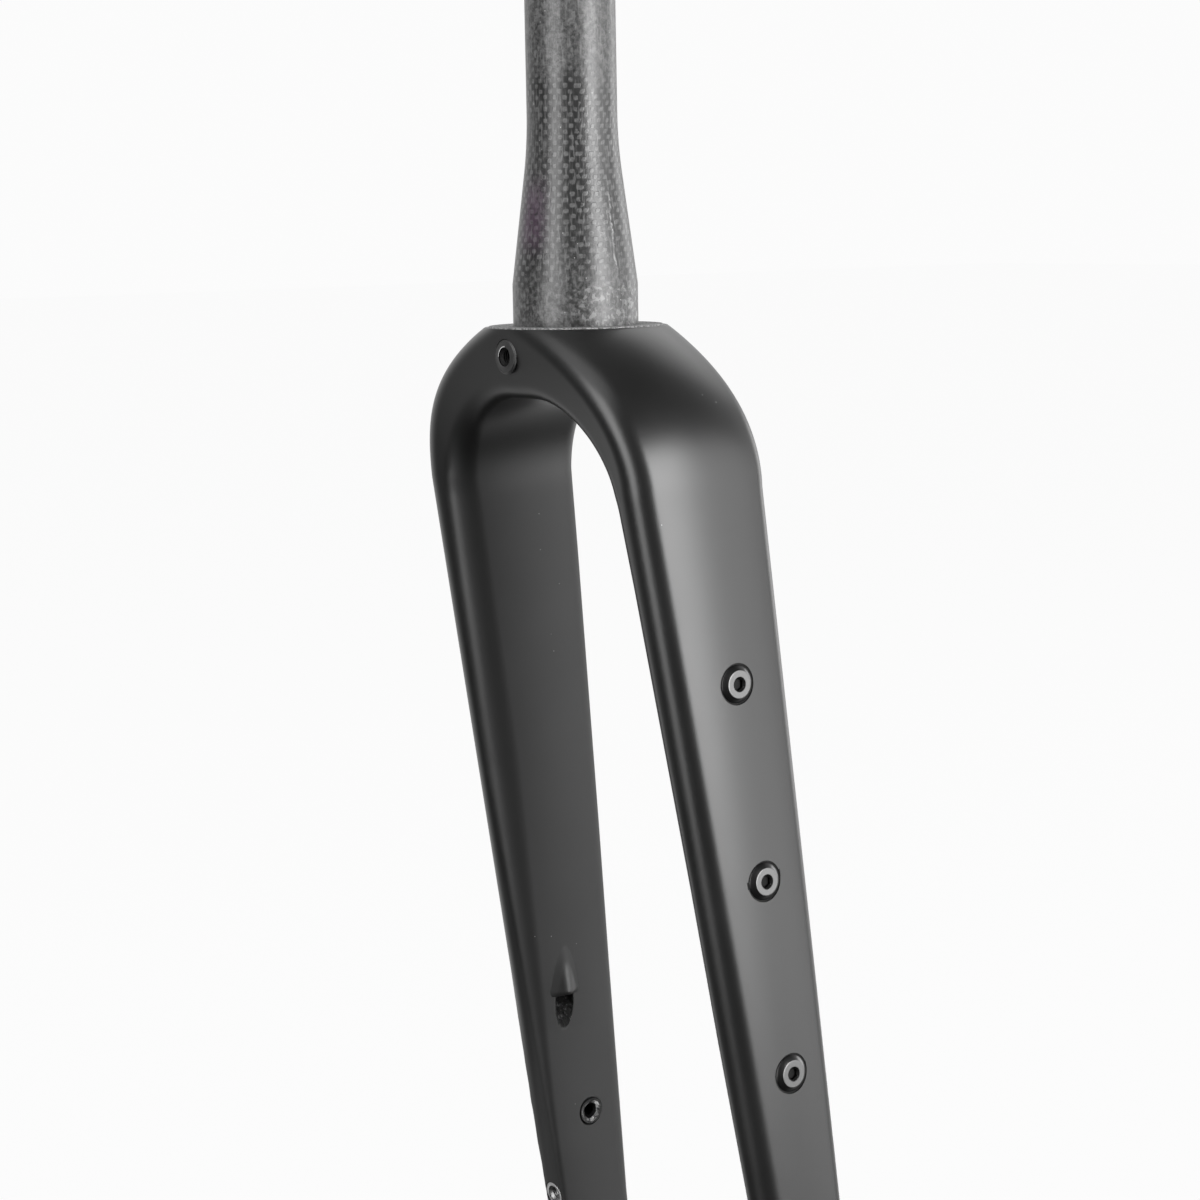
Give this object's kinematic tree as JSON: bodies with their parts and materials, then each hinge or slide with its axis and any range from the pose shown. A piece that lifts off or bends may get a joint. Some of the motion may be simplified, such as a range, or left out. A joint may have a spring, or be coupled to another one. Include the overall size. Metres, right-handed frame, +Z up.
{
  "type": "rigid bicycle fork",
  "caption": "Rigid gravel bicycle fork: tapered steerer tube, arched hollow crown, two straight legs with threaded cage mounts, flat disc-brake mount and through-axle dropouts.",
  "frame": {"origin": "centre of the crown race seat: on the steerer's axis, level with the flat top of the crown", "axes": "+Z up the steerer's axis, +Y forwards towards the offset dropouts, +X towards the rider's right"},
  "size_m": [0.139, 0.0969, 0.7595],
  "materials": {
    "painted_carbon": "satin black paint over moulded carbon-fibre laminate",
    "raw_carbon": "bare sanded carbon-fibre laminate",
    "black_aluminium": "black anodised",
    "silver_aluminium": "satin, as machined",
    "bolt_steel": "dark satin, with a bright turned rim"
  },
  "bodies": {
    "root": {"crown_insert": "black_aluminium", "fork_body": "painted_carbon", "left_axle_bush": "silver_aluminium", "left_lower_cage_bolt": "bolt_steel", "left_lower_cage_insert": "black_aluminium", "left_middle_cage_bolt": "bolt_steel", "left_middle_cage_insert": "black_aluminium", "left_mudguard_insert": "black_aluminium", "left_upper_cage_bolt": "bolt_steel", "left_upper_cage_insert": "black_aluminium", "lower_brake_insert": "silver_aluminium", "right_axle_nut": "silver_aluminium", "right_lower_cage_bolt": "bolt_steel", "right_lower_cage_insert": "black_aluminium", "right_middle_cage_bolt": "bolt_steel", "right_middle_cage_insert": "black_aluminium", "right_mudguard_insert": "black_aluminium", "right_upper_cage_bolt": "bolt_steel", "right_upper_cage_insert": "black_aluminium", "steerer_tube": "raw_carbon", "upper_brake_insert": "silver_aluminium"}
  },
  "joints": []
}
